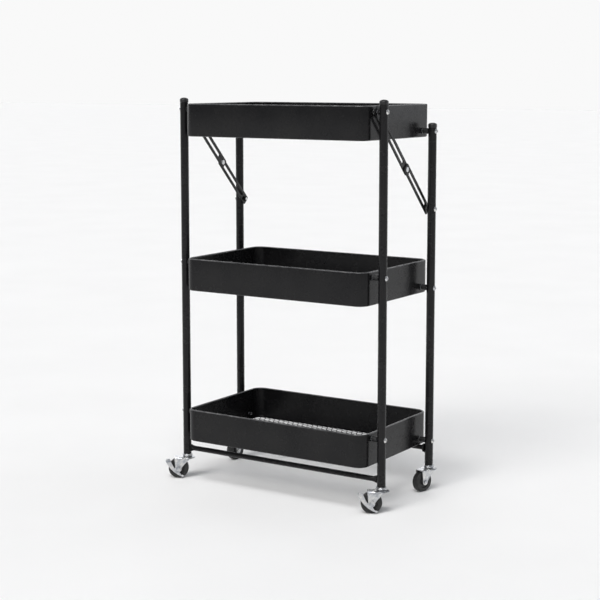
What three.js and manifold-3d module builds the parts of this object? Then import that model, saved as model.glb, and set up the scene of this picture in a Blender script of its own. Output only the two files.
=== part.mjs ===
// Folding three-tier salon trolley: two tube frames joined by three pivoting trays, a pair of
// folding braces and four swivel casters. Millimetres, +Z up, +X right, -Y front.
// The origin is on the floor, under the middle of the whole trolley's footprint.
import * as THREE from 'three';
import { mergeVertices } from 'three/addons/utils/BufferGeometryUtils.js';
import Module from 'manifold-3d';

const wasm = await Module();
wasm.setup();

// ---- Driving dimensions -------------------------------------------------------------------
const FOOTPRINT_CENTRE = { x: -13.1, y: -0.9 }; // middle of the footprint, seen from the frames' middle
const GAP = 0.3;                    // left between pieces that touch

const POST = { radius: 8, wall: 1.2, halfSpan: 224, frontY: -93, backY: 93, bottom: 50 };
const FRONT_POST_TOP = 760;
const BACK_POST_TOP = 714;
const CAP = { height: 9, radius: 8.4, plugDepth: 3 };

const TRAY = { halfWidth: 203.5, frontY: -125, backY: 126, height: 63, cornerRadius: 22, sheet: 1.2 };
const HEM = { width: 3, height: 3.2 };
const FLANGE_WIDTH = 11;            // turned-in lip under the tray wall that carries the mesh floor
const TRAY_BOTTOMS = { bottom: 86, middle: 386, top: 686 };
const FRONT_PIVOT_RISE = 52;        // pivot heights above the tray's underside
const BACK_PIVOT_RISE = 12;
const MESH = { thickness: 1.2, clearance: 2.2, columns: 7, rows: 4, holeShare: 0.74 };

const BOLT = { radius: 3, hole: 3.3, headRadius: 5.4, headHeight: 3.2, nutRadius: 5, nutHeight: 3.2 };
const NUT_STANDOFF = 2.6;           // a nut's distance from the tray wall
const SPACER_RADIUS = 5.5;

const BRACE = { width: 19, slot: 6.5, endInset: 15, elbowInset: 22, thickness: 2, upperShare: 0.58 };
const BRACE_OUTER_X = 213.6;        // outer face of the outer links, which are the lower ones
const BRACE_FOOT_Z = 550;           // lower brace bolt on the back post
const RIVET = { radius: 3, headRadius: 5, headHeight: 1.3 };

const FRONT_BAR = { radius: 5, z: 62.5, flareHeight: 23, flareDepth: 5, flareLength: 12 };
const BACK_BAR = { radius: 4.75, y: 111.5, z: 79.4, tabThickness: 3, tabHeight: 22 };

const WHEEL = { radius: 20, halfWidth: 7, hubRadius: 7, hubHalfWidth: 7.8 };
const TRAIL = 18;                   // axle's distance behind the swivel axis
// Directions the wheels trail in, degrees from +X. The back pair points forwards, clear of the
// bottom tray's path when the trolley folds.
const HEADINGS = { front_left: 212, front_right: 212, back_left: 262, back_right: 252 };
const FORK = { inner: 8.6, sheet: 1.8, crownBottom: 41.2, crownTop: 43.2, raceRadius: 15.5, raceTop: 46.4 };
const AXLE = { radius: 2.5, hole: 2.8, headRadius: 4.5, headHeight: 2.2 };
const BRAKE = { thickness: 1.6, stripWidth: 5 };

// ---- Looks --------------------------------------------------------------------------------
function material(color, roughness, metalness) {
  return new THREE.MeshStandardMaterial({ color, roughness, metalness });
}
const BLACK_STEEL = material(0x1b1b1e, 0.35, 0.4);
const ZINC = material(0xb9bcc0, 0.35, 0.9);
const BLACK_PLASTIC = material(0x151517, 0.5, 0);
const BLACK_RUBBER = material(0x1a1a19, 0.65, 0);

// ---- Solids -------------------------------------------------------------------------------
// A closed solid from any closed geometry, with its faces turned outwards.
function solid(geometry) {
  const plain = geometry.clone();
  plain.deleteAttribute('normal');
  plain.deleteAttribute('uv');
  const merged = mergeVertices(plain, 1e-4);
  const points = merged.attributes.position;
  const corners = merged.index.array;
  const [a, b, c] = [new THREE.Vector3(), new THREE.Vector3(), new THREE.Vector3()];
  const triangles = [];
  let volume = 0;
  for (let i = 0; i < corners.length; i += 3) {
    const [p, q, r] = [corners[i], corners[i + 1], corners[i + 2]];
    if (p === q || q === r || p === r) continue;
    triangles.push(p, q, r);
    a.fromBufferAttribute(points, p);
    b.fromBufferAttribute(points, q);
    c.fromBufferAttribute(points, r);
    volume += a.dot(b.cross(c));
  }
  if (volume < 0) triangles.reverse();
  const vertProperties = new Float32Array(points.array);
  const triVerts = new Uint32Array(triangles);
  return new wasm.Manifold(new wasm.Mesh({ numProp: 3, vertProperties, triVerts }));
}

function geometryOf(manifold) {
  const { vertProperties, triVerts } = manifold.getMesh();
  const geometry = new THREE.BufferGeometry();
  geometry.setAttribute('position', new THREE.BufferAttribute(new Float32Array(vertProperties), 3));
  geometry.setIndex(new THREE.BufferAttribute(new Uint32Array(triVerts), 1));
  geometry.computeVertexNormals();
  return geometry;
}

const joined = (solids) => solids.reduce((sum, next) => sum.add(next));
const cut = (body, tools) => tools.reduce((left, tool) => left.subtract(tool), body);

// A rod along X, Y or Z between two coordinates; its centre is given by the other two.
function rod(axis, from, to, centre, radius, sides = 10) {
  const geometry = new THREE.CylinderGeometry(radius, radius, to - from, sides);
  if (axis === 'x') geometry.rotateZ(-Math.PI / 2);
  if (axis === 'z') geometry.rotateX(Math.PI / 2);
  const place = { x: centre.x ?? 0, y: centre.y ?? 0, z: centre.z ?? 0 };
  place[axis] = (from + to) / 2;
  return solid(geometry.translate(place.x, place.y, place.z));
}

// A solid of revolution about Z from [radius, z] pairs.
function turned(profile, segments) {
  const points = profile.map(([r, z]) => new THREE.Vector2(r, z));
  return solid(new THREE.LatheGeometry(points, segments).rotateX(Math.PI / 2));
}

// A flat shape drawn in X and Z, given a thickness along Y.
function upright(shape, fromY, toY, curveSegments = 4) {
  const depth = toY - fromY;
  const geometry = new THREE.ExtrudeGeometry(shape, { depth, bevelEnabled: false, curveSegments });
  return solid(geometry.rotateX(Math.PI / 2).translate(0, toY, 0));
}

// A flat shape drawn in X and Y, given a height along Z.
function slab(shape, fromZ, toZ, curveSegments = 4) {
  const depth = toZ - fromZ;
  const geometry = new THREE.ExtrudeGeometry(shape, { depth, bevelEnabled: false, curveSegments });
  return solid(geometry.translate(0, 0, fromZ));
}

// ---- Outlines -----------------------------------------------------------------------------
function roundedRectangle(path, x0, y0, x1, y1, radius) {
  path.moveTo(x0 + radius, y0);
  path.lineTo(x1 - radius, y0);
  path.absarc(x1 - radius, y0 + radius, radius, -Math.PI / 2, 0);
  path.lineTo(x1, y1 - radius);
  path.absarc(x1 - radius, y1 - radius, radius, 0, Math.PI / 2);
  path.lineTo(x0 + radius, y1);
  path.absarc(x0 + radius, y1 - radius, radius, Math.PI / 2, Math.PI);
  path.lineTo(x0, y0 + radius);
  path.absarc(x0 + radius, y0 + radius, radius, Math.PI, Math.PI * 1.5);
  return path;
}

function trayOutline(path, inset) {
  const { halfWidth, frontY, backY, cornerRadius } = TRAY;
  const [left, right] = [-halfWidth + inset, halfWidth - inset];
  return roundedRectangle(path, left, frontY + inset, right, backY - inset, cornerRadius - inset);
}

function trayRing(outerInset, innerInset, fromZ, toZ) {
  const shape = trayOutline(new THREE.Shape(), outerInset);
  shape.holes.push(trayOutline(new THREE.Path(), innerInset));
  return slab(shape, fromZ, toZ);
}

// A bar with round ends from the first pivot at (0, 0) to the second at (length, 0).
function stadium(path, from, to, radius) {
  path.moveTo(from, -radius);
  path.lineTo(to, -radius);
  path.absarc(to, 0, radius, -Math.PI / 2, Math.PI / 2);
  path.lineTo(from, radius);
  path.absarc(from, 0, radius, Math.PI / 2, Math.PI * 1.5);
  return path;
}

function circle(path, x, y, radius) {
  path.absarc(x, y, radius, 0, Math.PI * 2);
  return path;
}

// ---- Assembly helpers ---------------------------------------------------------------------
const trolley = new THREE.Group();
const framework = new THREE.Group();
framework.position.set(-FOOTPRINT_CENTRE.x, -FOOTPRINT_CENTRE.y, 0);
trolley.add(framework);

function addPiece(name, manifold, finish, parent = framework) {
  const mesh = new THREE.Mesh(geometryOf(manifold), finish);
  mesh.name = name;
  parent.add(mesh);
}

const SIDES = { left: -1, right: 1 };
const RANKS = { front: POST.frontY, back: POST.backY };

// Mirrors an outward distance from the middle to the given side as an ordered pair.
const span = (side, inner, outer) => (side > 0 ? [inner, outer] : [-outer, -inner]);

// Heights of the tray pivots on each rank of posts.
function pivotHeights(rank) {
  const rise = rank === 'front' ? FRONT_PIVOT_RISE : BACK_PIVOT_RISE;
  return Object.values(TRAY_BOTTOMS).map((bottom) => bottom + rise);
}

// ---- Posts, caps and cross bars -----------------------------------------------------------
const POST_INNER_X = POST.halfSpan - POST.radius;
const POST_OUTER_X = POST.halfSpan + POST.radius;
const POST_BORE = POST.radius - POST.wall;

function post(side, rank) {
  const capBottom = (rank === 'front' ? FRONT_POST_TOP : BACK_POST_TOP) - CAP.height;
  const top = capBottom - GAP;
  const ring = [[POST_BORE, POST.bottom], [POST.radius, POST.bottom], [POST.radius, top], [POST_BORE, top]];
  const tube = turned([...ring, ring[0]], 14).translate([side * POST.halfSpan, RANKS[rank], 0]);
  const heights = pivotHeights(rank);
  if (rank === 'back') heights.push(BRACE_FOOT_Z);
  const [from, to] = span(side, POST_INNER_X - 1, POST_OUTER_X + 1);
  return cut(tube, heights.map((z) => rod('x', from, to, { y: RANKS[rank], z }, BOLT.hole, 8)));
}

function postCap(side, rank) {
  const top = rank === 'front' ? FRONT_POST_TOP : BACK_POST_TOP;
  const bottom = top - CAP.height;
  const plug = POST_BORE - GAP;
  const profile = [
    [0, bottom - CAP.plugDepth], [plug, bottom - CAP.plugDepth], [plug, bottom],
    [CAP.radius, bottom], [CAP.radius, top - 2], [CAP.radius - 2.5, top], [0, top],
  ];
  return turned(profile, 14).translate([side * POST.halfSpan, RANKS[rank], 0]);
}

for (const rank of Object.keys(RANKS)) {
  for (const [sideName, side] of Object.entries(SIDES)) {
    addPiece(`${rank}_${sideName}_post`, post(side, rank), BLACK_STEEL);
    addPiece(`${rank}_${sideName}_post_cap`, postCap(side, rank), BLACK_PLASTIC);
  }
}

// The front bar's ends are flattened and flared to meet the posts along a tall weld.
function frontCrossbar() {
  const { radius, z, flareHeight, flareDepth, flareLength } = FRONT_BAR;
  const end = POST_INNER_X - GAP;
  const bar = rod('x', -end, end, { y: POST.frontY, z }, radius);
  const flares = Object.values(SIDES).map((side) => {
    const shape = new THREE.Shape();
    shape.moveTo(side * end, z - flareHeight / 2);
    shape.lineTo(side * end, z + flareHeight / 2);
    shape.lineTo(side * (end - flareLength), z + radius - 1);
    shape.lineTo(side * (end - flareLength), z - radius + 1);
    return upright(shape, POST.frontY - flareDepth / 2, POST.frontY + flareDepth / 2);
  });
  return joined([bar, ...flares]);
}

// The back bar stands behind and below the lowest pivots, so the folding tray clears it.
// Its flat end tabs reach forward to the back posts' inner faces.
function backCrossbar() {
  const { radius, y, z, tabThickness, tabHeight } = BACK_BAR;
  const end = POST_INNER_X - GAP;
  const bar = rod('x', -end, end, { y, z }, radius);
  const tabs = Object.values(SIDES).map((side) => {
    const [from, to] = span(side, end - tabThickness, end);
    const [front, back] = [POST.backY - POST.radius, y + radius];
    const plate = new THREE.BoxGeometry(to - from, back - front, tabHeight);
    return solid(plate.translate((from + to) / 2, (front + back) / 2, z));
  });
  return joined([bar, ...tabs]);
}

addPiece('front_crossbar', frontCrossbar(), BLACK_STEEL);
addPiece('back_crossbar', backCrossbar(), BLACK_STEEL);

// ---- Trays --------------------------------------------------------------------------------
function trayShell(bottom) {
  const top = bottom + TRAY.height;
  const walls = trayRing(0, TRAY.sheet, bottom, top);
  const hem = trayRing(0, HEM.width, top - HEM.height, top);
  const flange = trayRing(0, FLANGE_WIDTH, bottom, bottom + TRAY.sheet);
  const reach = TRAY.halfWidth + 1;
  const holes = [[POST.frontY, FRONT_PIVOT_RISE], [POST.backY, BACK_PIVOT_RISE]].flatMap(([y, rise]) => [
    rod('x', -reach, -reach + 6, { y, z: bottom + rise }, BOLT.hole),
    rod('x', reach - 6, reach, { y, z: bottom + rise }, BOLT.hole),
  ]);
  return cut(joined([walls, hem, flange]), holes);
}

// Diamond openings in straight rows and columns leave an unbroken lattice of strands.
function trayFloor(bottom) {
  const shape = trayOutline(new THREE.Shape(), MESH.clearance);
  const width = 2 * (TRAY.halfWidth - FLANGE_WIDTH);
  const depth = TRAY.backY - TRAY.frontY - 2 * FLANGE_WIDTH;
  const [cellX, cellY] = [width / MESH.columns, depth / MESH.rows];
  const [halfX, halfY] = [cellX * MESH.holeShare / 2, cellY * MESH.holeShare / 2];
  for (let column = 0; column < MESH.columns; column += 1) {
    for (let row = 0; row < MESH.rows; row += 1) {
      const x = -width / 2 + (column + 0.5) * cellX;
      const y = TRAY.frontY + FLANGE_WIDTH + (row + 0.5) * cellY;
      const diamond = new THREE.Path();
      diamond.moveTo(x - halfX, y);
      diamond.lineTo(x, y - halfY);
      diamond.lineTo(x + halfX, y);
      diamond.lineTo(x, y + halfY);
      diamond.closePath();
      shape.holes.push(diamond);
    }
  }
  const underside = bottom + TRAY.sheet + GAP;
  return slab(shape, underside, underside + MESH.thickness);
}

for (const [name, bottom] of Object.entries(TRAY_BOTTOMS)) {
  addPiece(`${name}_tray_shell`, trayShell(bottom), BLACK_STEEL);
  addPiece(`${name}_tray_mesh_floor`, trayFloor(bottom), BLACK_STEEL);
}

// ---- Pivot hardware -----------------------------------------------------------------------
const WALL_INNER_X = TRAY.halfWidth - TRAY.sheet;
const LINK_LOWER = { inner: BRACE_OUTER_X - BRACE.thickness, outer: BRACE_OUTER_X };
const LINK_UPPER = { inner: LINK_LOWER.inner - GAP - BRACE.thickness, outer: LINK_LOWER.inner - GAP };
const TOP_FRONT_PIVOT_Z = TRAY_BOTTOMS.top + FRONT_PIVOT_RISE;

// A dome-headed bolt along X with its nut screwed on at the inner end. The head bears on the
// post's outer face, and collars, given as [inner, outer] pairs, space out what the bolt holds.
function pivotBolt(side, y, z, nutOuterX, collars) {
  const nutInnerX = nutOuterX - BOLT.nutHeight;
  const seat = POST_OUTER_X + GAP;
  const crown = seat + BOLT.headHeight;
  const ring = (radius, from, to) => [[BOLT.radius, from], [radius, from], [radius, to], [BOLT.radius, to]];
  const profile = [
    [0, nutInnerX - 1], [BOLT.radius, nutInnerX - 1],
    ...ring(BOLT.nutRadius, nutInnerX, nutOuterX),
    ...collars.flatMap(([inner, outer]) => ring(SPACER_RADIUS, inner, outer)),
    [BOLT.radius, seat], [BOLT.headRadius, seat], [BOLT.headRadius, crown - 1.4], [BOLT.headRadius - 2, crown],
    [0, crown],
  ];
  return turned(profile, 6).rotate([0, side * 90, 0]).translate([0, y, z]);
}

for (const [rank, y] of Object.entries(RANKS)) {
  for (const [sideName, side] of Object.entries(SIDES)) {
    for (const [trayName, bottom] of Object.entries(TRAY_BOTTOMS)) {
      const z = bottom + (rank === 'front' ? FRONT_PIVOT_RISE : BACK_PIVOT_RISE);
      const [wall, inPost] = [TRAY.halfWidth + GAP, POST_INNER_X - GAP];
      const holdsBrace = rank === 'front' && trayName === 'top';
      const collars = holdsBrace
        ? [[wall, LINK_UPPER.inner - GAP], [LINK_UPPER.outer + GAP, inPost]]
        : [[wall, inPost]];
      const piece = pivotBolt(side, y, z, WALL_INNER_X - NUT_STANDOFF, collars);
      addPiece(`${trayName}_tray_${rank}_${sideName}_pivot_bolt`, piece, ZINC);
    }
  }
}

// ---- Folding braces -----------------------------------------------------------------------
// Each brace is two slotted links that lie in one straight line when the trolley stands open.
const BRACE_RUN = POST.backY - POST.frontY;
const BRACE_RISE = BRACE_FOOT_Z - TOP_FRONT_PIVOT_Z;
const BRACE_LENGTH = Math.hypot(BRACE_RUN, BRACE_RISE);
const BRACE_SLOPE = Math.atan2(BRACE_RISE, BRACE_RUN);
const UPPER_LENGTH = BRACE_LENGTH * BRACE.upperShare;
const LOWER_LENGTH = BRACE_LENGTH - UPPER_LENGTH;
const ELBOW = {
  y: POST.frontY + Math.cos(BRACE_SLOPE) * UPPER_LENGTH,
  z: TOP_FRONT_PIVOT_Z + Math.sin(BRACE_SLOPE) * UPPER_LENGTH,
};

// A link laid along +Y from its first pivot, turned to the brace's slope about X.
function link(side, layer, start, length, startInset, endInset) {
  const shape = stadium(new THREE.Shape(), 0, length, BRACE.width / 2);
  shape.holes.push(stadium(new THREE.Path(), startInset, length - endInset, BRACE.slot / 2));
  shape.holes.push(circle(new THREE.Path(), 0, 0, BOLT.hole));
  shape.holes.push(circle(new THREE.Path(), length, 0, BOLT.hole));
  const [from, to] = span(side, layer.inner, layer.outer);
  const settings = { depth: to - from, bevelEnabled: false, curveSegments: 5 };
  const flat = new THREE.ExtrudeGeometry(shape, settings);
  // The shape's X becomes +Y and its Y becomes +Z, so the thickness runs along +X.
  flat.applyMatrix4(new THREE.Matrix4().set(0, 0, 1, 0, 1, 0, 0, 0, 0, 1, 0, 0, 0, 0, 0, 1));
  flat.rotateX(BRACE_SLOPE).translate(from, start.y, start.z);
  return solid(flat);
}

// One half of the elbow rivet: a head outside its own link and a stub through that link.
function rivetHalf(side, headInner, headOuter, stubInner, stubOuter) {
  const head = rod('x', ...span(side, headInner, headOuter), ELBOW, RIVET.headRadius);
  return head.add(rod('x', ...span(side, stubInner, stubOuter), ELBOW, RIVET.radius));
}

for (const [sideName, side] of Object.entries(SIDES)) {
  const shoulder = { y: POST.frontY, z: TOP_FRONT_PIVOT_Z };
  const { endInset, elbowInset } = BRACE;
  const upper = link(side, LINK_UPPER, shoulder, UPPER_LENGTH, endInset, elbowInset);
  const lower = link(side, LINK_LOWER, ELBOW, LOWER_LENGTH, endInset, endInset);
  const outerSeat = LINK_LOWER.outer + GAP;
  const innerSeat = LINK_UPPER.inner - GAP;
  const outerHalf = rivetHalf(side, outerSeat, outerSeat + RIVET.headHeight, LINK_LOWER.inner, outerSeat + 0.2);
  const innerHalf = rivetHalf(side, innerSeat - RIVET.headHeight, innerSeat, innerSeat - 0.2, LINK_UPPER.outer);
  const footCollar = [outerSeat, POST_INNER_X - GAP];
  addPiece(`${sideName}_brace_upper_link`, upper, BLACK_STEEL);
  addPiece(`${sideName}_brace_lower_link`, lower, BLACK_STEEL);
  addPiece(`${sideName}_elbow_rivet_inner`, innerHalf, ZINC);
  addPiece(`${sideName}_elbow_rivet_outer`, outerHalf, ZINC);
  const footBolt = pivotBolt(side, POST.backY, BRACE_FOOT_Z, LINK_LOWER.inner - GAP, [footCollar]);
  addPiece(`${sideName}_brace_foot_bolt`, footBolt, ZINC);
}

// ---- Casters ------------------------------------------------------------------------------
// Drawn about the swivel axis at (0, 0), with the wheel trailing along +X and the axle along Y.
const AXLE_CENTRE = { x: TRAIL, z: WHEEL.radius };
const FORK_OUTER = FORK.inner + FORK.sheet;

function casterStem() {
  return turned([
    [0, 38.8], [5, 38.8], [5, FORK.crownBottom - GAP - 0.2], [3, FORK.crownBottom - GAP - 0.2],
    [3, FORK.raceTop + GAP], [13, FORK.raceTop + GAP], [13, POST.bottom - GAP],
    [4, POST.bottom - GAP], [4, 74], [0, 74],
  ], 14);
}

function forkLeg(fromY, toY) {
  const { x, z } = AXLE_CENTRE;
  const shape = new THREE.Shape();
  shape.moveTo(-9, FORK.crownTop);
  shape.lineTo(-9, FORK.crownTop - 4);
  shape.quadraticCurveTo(4, 32, x - 6.2, z);
  shape.absarc(x, z, 6.2, Math.PI, Math.PI * 2);
  shape.quadraticCurveTo(x + 6, 32, x + 8, FORK.crownTop);
  shape.closePath();
  const axleHole = rod('y', fromY - 1, toY + 1, AXLE_CENTRE, AXLE.hole);
  return upright(shape, fromY, toY, 4).subtract(axleHole);
}

function casterFork() {
  const legs = [forkLeg(FORK.inner, FORK_OUTER), forkLeg(-FORK_OUTER, -FORK.inner)];
  const crown = new THREE.BoxGeometry(TRAIL + 17, 2 * FORK_OUTER, FORK.crownTop - FORK.crownBottom);
  crown.translate((TRAIL - 1) / 2, 0, (FORK.crownTop + FORK.crownBottom) / 2);
  const race = turned([
    [0, FORK.crownBottom], [FORK.raceRadius, FORK.crownBottom], [FORK.raceRadius, FORK.crownTop],
    [FORK.raceRadius - 2.5, FORK.raceTop], [0, FORK.raceTop],
  ], 16);
  const bore = rod('z', FORK.crownBottom - 1, FORK.raceTop + 1, {}, 3.4);
  return joined([...legs, solid(crown), race]).subtract(bore);
}

// The tread is a polygon that stands on a flat, with its flats at the wheel's true radius.
function casterWheel() {
  const { radius, halfWidth, hubRadius, hubHalfWidth } = WHEEL;
  const facets = 20;
  const tread = radius / Math.cos(Math.PI / facets);
  const rightHalf = [
    [tread, halfWidth - 2.5], [radius - 2, halfWidth], [hubRadius, halfWidth - 1],
    [hubRadius, hubHalfWidth], [AXLE.hole, hubHalfWidth],
  ];
  const leftHalf = rightHalf.map(([r, w]) => [r, -w]).reverse();
  const wheel = turned([...leftHalf, ...rightHalf, leftHalf[0]], facets);
  return wheel.rotate([0, 0, 180 / facets]).rotate([90, 0, 0]).translate([AXLE_CENTRE.x, 0, AXLE_CENTRE.z]);
}

// The near head stands further out where a brake lever sits under it.
function casterAxle(braked) {
  const near = FORK_OUTER + GAP + (braked ? BRAKE.thickness + GAP : 0);
  const far = FORK_OUTER + GAP;
  return joined([
    rod('y', -far - 0.5, near + 0.5, AXLE_CENTRE, AXLE.radius),
    rod('y', near, near + AXLE.headHeight, AXLE_CENTRE, AXLE.headRadius, 6),
    rod('y', -far - AXLE.headHeight, -far, AXLE_CENTRE, AXLE.headRadius),
  ]);
}

// A rocker on the axle: a curved side strip with a foot pedal over the tread at its upper end.
function brakeLever() {
  const { x, z } = AXLE_CENTRE;
  const [near, far] = [FORK_OUTER + GAP, FORK_OUTER + GAP + BRAKE.thickness];
  const reach = BRAKE.stripWidth / 2;
  const strip = new THREE.Shape();
  strip.moveTo(x + 22, z + 10);
  strip.quadraticCurveTo(x + 9, z - 5, x - 9, z - 13);
  strip.lineTo(x - 12, z - 13);
  strip.lineTo(x - 11, z - 10);
  strip.quadraticCurveTo(x + 3, z + 4, x + 17, z + 14);
  strip.closePath();
  const side = joined([upright(strip, near, far), rod('y', near, far, AXLE_CENTRE, AXLE.headRadius + reach)]);
  const pedal = new THREE.Shape();
  pedal.moveTo(x + 18.2, z + 12);
  pedal.lineTo(x + 22, z + 9.4);
  pedal.lineTo(x + 28, z + 20);
  pedal.lineTo(x + 26, z + 22);
  pedal.closePath();
  return side.add(upright(pedal, -5, far)).subtract(rod('y', near - 1, far + 1, AXLE_CENTRE, AXLE.hole));
}

for (const [rank, y] of Object.entries(RANKS)) {
  for (const [sideName, side] of Object.entries(SIDES)) {
    const caster = new THREE.Group();
    caster.position.set(side * POST.halfSpan, y, 0);
    caster.rotation.z = THREE.MathUtils.degToRad(HEADINGS[`${rank}_${sideName}`]);
    framework.add(caster);
    const braked = rank === 'front';
    const name = `${rank}_${sideName}_caster`;
    addPiece(`${name}_stem`, casterStem(), ZINC, caster);
    addPiece(`${name}_fork`, casterFork(), ZINC, caster);
    addPiece(`${name}_wheel`, casterWheel(), BLACK_RUBBER, caster);
    addPiece(`${name}_axle`, casterAxle(braked), ZINC, caster);
    if (braked) addPiece(`${name}_brake_lever`, brakeLever(), ZINC, caster);
  }
}

export default trolley;
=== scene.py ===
"""The looks of a folding three-tier salon trolley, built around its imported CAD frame.

Metres, +Z up, +X right, -Y front. Every piece takes its place from the frame's nodes.
"""
import math

import bmesh
import bpy
from mathutils import Matrix, Vector


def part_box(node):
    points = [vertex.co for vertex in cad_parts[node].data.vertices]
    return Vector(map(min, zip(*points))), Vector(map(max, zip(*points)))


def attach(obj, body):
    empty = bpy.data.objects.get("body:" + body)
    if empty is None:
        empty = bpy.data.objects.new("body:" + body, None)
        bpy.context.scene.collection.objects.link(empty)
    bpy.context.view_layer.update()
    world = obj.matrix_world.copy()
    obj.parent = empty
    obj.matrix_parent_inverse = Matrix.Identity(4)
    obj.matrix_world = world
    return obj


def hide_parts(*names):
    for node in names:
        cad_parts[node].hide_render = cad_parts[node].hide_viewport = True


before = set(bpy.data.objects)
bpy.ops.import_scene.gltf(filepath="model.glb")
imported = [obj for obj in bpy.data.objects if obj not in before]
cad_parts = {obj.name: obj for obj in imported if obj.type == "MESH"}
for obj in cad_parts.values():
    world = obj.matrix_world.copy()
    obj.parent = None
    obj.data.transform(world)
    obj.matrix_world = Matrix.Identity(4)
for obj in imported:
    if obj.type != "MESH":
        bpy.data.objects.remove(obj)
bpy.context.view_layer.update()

MM = 0.001
SIDES = {"left": -1, "right": 1}
RANKS = ("front", "back")
TRAYS = ("bottom", "middle", "top")
FULL_TURN = 2 * math.pi
SAME_POINT = 1e-6     # points of a shape that are closer than this are joined
ON_AXIS = 1e-9        # a turned profile's point nearer to the axis than this lies on it
ALONG_X = Matrix.Rotation(math.pi / 2, 4, "Y")    # turns a piece drawn along Z to lie along X
ALONG_Y = Matrix.Rotation(-math.pi / 2, 4, "X")   # turns a piece drawn along Z to lie along Y
ON_EDGE = Matrix(((0, 0, 1, 0), (1, 0, 0, 0), (0, 1, 0, 0), (0, 0, 0, 1)))  # X, Y drawn as Y, Z


# ---- Camera -------------------------------------------------------------------------------
def add_camera():
    camera = bpy.data.objects.new("camera", bpy.data.cameras.new("camera"))
    camera.data.lens = 88.08
    camera.data.sensor_width = 36
    camera.data.shift_y = -0.06
    camera.location = (1.5450, -2.3848, 0.8026)
    yaw, tilt_down = math.radians(32.96), math.radians(7.32)
    camera.rotation_euler = (math.pi / 2 - tilt_down, 0, yaw)
    bpy.context.scene.collection.objects.link(camera)
    bpy.context.scene.camera = camera


# ---- Materials ----------------------------------------------------------------------------
class Surface:
    """A procedural material: noise-varied colour and roughness, and a fine bump."""

    def __init__(self, name, metallic=0.0):
        self.material = bpy.data.materials.new(name)
        self.material.use_nodes = True
        self.tree = self.material.node_tree
        self.shader = self.tree.nodes["Principled BSDF"]
        self.shader.inputs["Metallic"].default_value = metallic
        self.place = self.tree.nodes.new("ShaderNodeTexCoord").outputs["Object"]

    def link(self, output, socket):
        self.tree.links.new(output, socket)

    def stretched(self, x, y, z):
        node = self.tree.nodes.new("ShaderNodeMapping")
        node.inputs["Scale"].default_value = (x, y, z)
        self.link(self.place, node.inputs["Vector"])
        return node.outputs["Vector"]

    def noise(self, scale, detail=3.0, roughness=0.5, place=None):
        node = self.tree.nodes.new("ShaderNodeTexNoise")
        node.inputs["Scale"].default_value = scale
        node.inputs["Detail"].default_value = detail
        node.inputs["Roughness"].default_value = roughness
        self.link(place or self.place, node.inputs["Vector"])
        return node.outputs["Fac"]

    def ramp(self, value, stops):
        node = self.tree.nodes.new("ShaderNodeValToRGB")
        ramp = node.color_ramp
        while len(ramp.elements) < len(stops):
            ramp.elements.new(0.5)
        for element, (position, colour) in zip(ramp.elements, stops):
            element.position = position
            element.color = (*colour, 1)
        self.link(value, node.inputs["Fac"])
        return node.outputs["Color"]

    def spread(self, value, low, high):
        """A noise's usual range, laid over the range from low to high."""
        node = self.tree.nodes.new("ShaderNodeMapRange")
        node.inputs["From Min"].default_value = 0.3
        node.inputs["From Max"].default_value = 0.7
        node.inputs["To Min"].default_value = low
        node.inputs["To Max"].default_value = high
        self.link(value, node.inputs["Value"])
        return node.outputs["Result"]

    def bump(self, height, strength, distance, under=None):
        node = self.tree.nodes.new("ShaderNodeBump")
        node.inputs["Strength"].default_value = strength
        node.inputs["Distance"].default_value = distance
        self.link(height, node.inputs["Height"])
        if under:
            self.link(under, node.inputs["Normal"])
        return node.outputs["Normal"]

    def finish(self, colour, roughness, normal):
        self.link(colour, self.shader.inputs["Base Color"])
        self.link(roughness, self.shader.inputs["Roughness"])
        self.link(normal, self.shader.inputs["Normal"])
        return self.material


def powder_coat():
    """Semi-gloss black powder coat: orange peel, and patches a little duller where it is handled."""
    surface = Surface("black_powder_coat")
    surface.shader.inputs["Specular IOR Level"].default_value = 0.22
    patches = surface.noise(14, detail=4)
    colour = surface.ramp(patches, [(0.3, (0.006, 0.006, 0.0068)), (0.7, (0.011, 0.0108, 0.0112))])
    smears = surface.noise(55, detail=6, roughness=0.62)
    roughness = surface.spread(smears, 0.2, 0.31)
    peel = surface.bump(surface.noise(620, detail=2), 0.16, 0.12 * MM)
    grain = surface.bump(surface.noise(2600, detail=1), 0.1, 0.05 * MM, under=peel)
    return surface.finish(colour, roughness, grain)


def rim_highlight_coat():
    """Painted highlight on the rims: the same coat, lighter in patches and a little glossier."""
    surface = Surface("painted_rim_highlight")
    highlight_patches = surface.noise(70, detail=6, roughness=0.6)
    # colours well above the coat's own black: the painted highlight
    colour = surface.ramp(highlight_patches, [
        (0.34, (0.03, 0.03, 0.032)), (0.55, (0.085, 0.085, 0.088)), (0.75, (0.16, 0.158, 0.155))])
    roughness = surface.spread(highlight_patches, 0.16, 0.3)
    peel = surface.bump(surface.noise(620, detail=2), 0.14, 0.1 * MM)
    return surface.finish(colour, roughness, peel)


def zinc_plate():
    """Bright zinc over pressed steel: drawn scratches and cloudy, slightly blue and straw patches."""
    surface = Surface("bright_zinc", metallic=1.0)
    cloud = surface.noise(120, detail=5, roughness=0.6)
    colour = surface.ramp(cloud, [
        (0.3, (0.3, 0.32, 0.35)), (0.48, (0.56, 0.57, 0.59)), (0.7, (0.74, 0.73, 0.7))])
    scratches = surface.noise(420, detail=4, place=surface.stretched(1, 1, 6))
    roughness = surface.spread(scratches, 0.18, 0.4)
    dents = surface.bump(surface.noise(260, detail=2), 0.34, 0.2 * MM)
    fine = surface.bump(scratches, 0.12, 0.05 * MM, under=dents)
    return surface.finish(colour, roughness, fine)


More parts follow.
